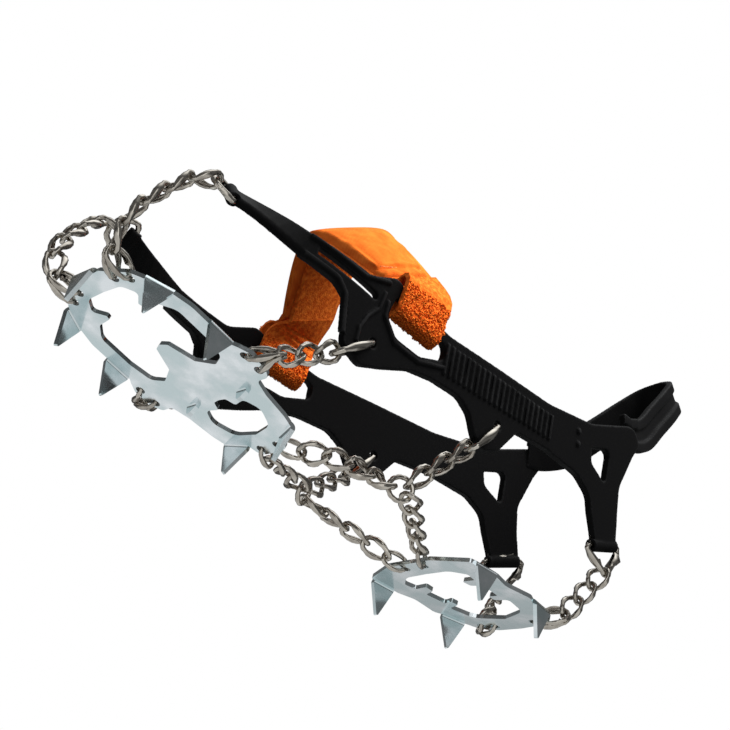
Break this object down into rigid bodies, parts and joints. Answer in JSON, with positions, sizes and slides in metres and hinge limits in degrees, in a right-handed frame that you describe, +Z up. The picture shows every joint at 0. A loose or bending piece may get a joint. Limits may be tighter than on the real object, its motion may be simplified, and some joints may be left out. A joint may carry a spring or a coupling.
{
  "type": "ice cleat",
  "caption": "Strap-on ice cleat: zinc-plated spike plates hung on twisted-link chains from a black moulded rubber harness, with an orange hook-and-loop instep strap.",
  "frame": {"origin": "on the sole plane under the foot, on the centre line, midway between the two plates", "axes": "+X to the wearer's right, +Y to the toe, +Z up"},
  "size_m": [0.1104, 0.3516, 0.2004],
  "materials": {
    "harness_rubber": "satin moulded rubber",
    "zinc_plate": "bright zinc plating with a blue-green cast",
    "chain_steel": "polished steel wire",
    "ring_steel": "polished steel wire",
    "strap_webbing": "loop-pile webbing",
    "pad_fabric": "woven padded cover"
  },
  "bodies": {
    "harness": {"harness": "harness_rubber", "strap_band": "strap_webbing", "strap_pad": "pad_fabric", "side_connector_left": "ring_steel", "side_connector_right": "ring_steel", "rear_connector_left": "ring_steel", "rear_connector_right": "ring_steel"},
    "front_plate": {"front_plate": "zinc_plate", "toe_yokes_left": "chain_steel", "toe_yokes_right": "chain_steel", "ear_yokes_left": "chain_steel", "ear_yokes_right": "chain_steel", "arch_yoke_left": "chain_steel", "arch_yoke_right": "chain_steel"},
    "heel_plate": {"heel_plate": "zinc_plate", "waist_yoke_left": "chain_steel", "waist_yoke_right": "chain_steel", "heel_yokes_left": "chain_steel", "heel_yokes_right": "chain_steel"},
    "strap_tongue": {"strap_tongue": "strap_webbing"},
    "toe_chain_left": {"toe_chain_left": "chain_steel"},
    "side_chain_left": {"side_chain_left": "chain_steel"},
    "arch_chain_left": {"arch_chain_left": "chain_steel"},
    "lift_chain_left": {"lift_chain_left": "chain_steel", "junction_ring_left": "ring_steel"},
    "waist_chain_left": {"waist_chain_left": "chain_steel"},
    "heel_chain_left": {"heel_chain_left": "chain_steel"},
    "toe_ring_left": {"toe_ring_left": "ring_steel"},
    "heel_ring_left": {"heel_ring_left": "ring_steel"},
    "toe_chain_right": {"toe_chain_right": "chain_steel"},
    "side_chain_right": {"side_chain_right": "chain_steel"},
    "arch_chain_right": {"arch_chain_right": "chain_steel"},
    "lift_chain_right": {"lift_chain_right": "chain_steel", "junction_ring_right": "ring_steel"},
    "waist_chain_right": {"waist_chain_right": "chain_steel"},
    "heel_chain_right": {"heel_chain_right": "chain_steel"},
    "toe_ring_right": {"toe_ring_right": "ring_steel"},
    "heel_ring_right": {"heel_ring_right": "ring_steel"}
  },
  "joints": [
    {"name": "front_plate_lift", "type": "slide", "parent": "harness", "child": "front_plate", "axis": [0, -0.1132, 0.9936], "range_m": [0, 0.001]},
    {"name": "heel_plate_lift", "type": "slide", "parent": "harness", "child": "heel_plate", "axis": [0, 0.1132, 0.9936], "range_m": [0, 0.001]},
    {"name": "strap_tongue_peel", "type": "hinge", "parent": "harness", "child": "strap_tongue", "pos_m": [-0.0525, 0.025, 0.0668], "axis": [0.087, -0.9944, 0.0597], "range_deg": [0, 75]},
    {"name": "toe_chain_roll_left", "type": "hinge", "parent": "front_plate", "child": "toe_chain_left", "pos_m": [-0.0205, 0.155, 0.016], "axis": [0.3145, 0.3472, -0.8835], "range_deg": [-3, 3]},
    {"name": "side_chain_roll_left", "type": "hinge", "parent": "front_plate", "child": "side_chain_left", "pos_m": [-0.0475, 0.0825, 0.0085], "axis": [0.0825, 0.7834, -0.6161], "range_deg": [-4, 1]},
    {"name": "arch_chain_roll_left", "type": "hinge", "parent": "front_plate", "child": "arch_chain_left", "pos_m": [-0.011, 0.034, 0.0005], "axis": [0.412, 0.9063, -0.0945], "range_deg": [-4, 4]},
    {"name": "lift_chain_roll_left", "type": "hinge", "parent": "harness", "child": "lift_chain_left", "pos_m": [-0.04276, -0.03174, 0.03974], "axis": [-0.2757, -0.51, 0.8148], "range_deg": [-3, 3]},
    {"name": "waist_chain_roll_left", "type": "hinge", "parent": "heel_plate", "child": "waist_chain_left", "pos_m": [-0.0105, -0.0475, -0.003], "axis": [0.5598, -0.8148, -0.1506], "range_deg": [-4, 4]},
    {"name": "heel_chain_roll_left", "type": "hinge", "parent": "heel_plate", "child": "heel_chain_left", "pos_m": [-0.026, -0.1275, 0.007], "axis": [0.2301, 0.3404, -0.9117], "range_deg": [-4, 4]},
    {"name": "toe_ring_pivot_left", "type": "hinge", "parent": "harness", "child": "toe_ring_left", "pos_m": [-0.03728, 0.126, 0.064], "axis": [-0.6691, 0, -0.7431], "range_deg": [-1, 5]},
    {"name": "heel_ring_pivot_left", "type": "hinge", "parent": "harness", "child": "heel_ring_left", "pos_m": [-0.03323, -0.1335, 0.04825], "axis": [-0.1273, 0.8658, -0.4839], "range_deg": [-8, 0]},
    {"name": "toe_chain_roll_right", "type": "hinge", "parent": "front_plate", "child": "toe_chain_right", "pos_m": [0.0205, 0.155, 0.016], "axis": [0.3145, -0.3472, 0.8835], "range_deg": [-3, 3]},
    {"name": "side_chain_roll_right", "type": "hinge", "parent": "front_plate", "child": "side_chain_right", "pos_m": [0.0475, 0.0825, 0.0085], "axis": [0.0825, -0.7834, 0.6161], "range_deg": [-4, 1]},
    {"name": "arch_chain_roll_right", "type": "hinge", "parent": "front_plate", "child": "arch_chain_right", "pos_m": [0.0095, 0.033, 0.001], "axis": [0.4883, -0.8432, 0.2249], "range_deg": [-4, 4]},
    {"name": "lift_chain_roll_right", "type": "hinge", "parent": "harness", "child": "lift_chain_right", "pos_m": [0.04276, -0.03174, 0.03974], "axis": [-0.28, 0.6608, -0.6964], "range_deg": [-3, 3]},
    {"name": "waist_chain_roll_right", "type": "hinge", "parent": "heel_plate", "child": "waist_chain_right", "pos_m": [0.0095, -0.0475, -0.003], "axis": [0.5139, 0.8193, 0.2545], "range_deg": [-4, 4]},
    {"name": "heel_chain_roll_right", "type": "hinge", "parent": "heel_plate", "child": "heel_chain_right", "pos_m": [0.026, -0.1275, 0.007], "axis": [0.2301, -0.3404, 0.9117], "range_deg": [-4, 4]},
    {"name": "toe_ring_pivot_right", "type": "hinge", "parent": "harness", "child": "toe_ring_right", "pos_m": [0.03728, 0.126, 0.064], "axis": [-0.6691, 0, 0.7431], "range_deg": [-1, 5]},
    {"name": "heel_ring_pivot_right", "type": "hinge", "parent": "harness", "child": "heel_ring_right", "pos_m": [0.03323, -0.1335, 0.04825], "axis": [-0.1273, -0.8658, 0.4839], "range_deg": [-8, 0]}
  ]
}
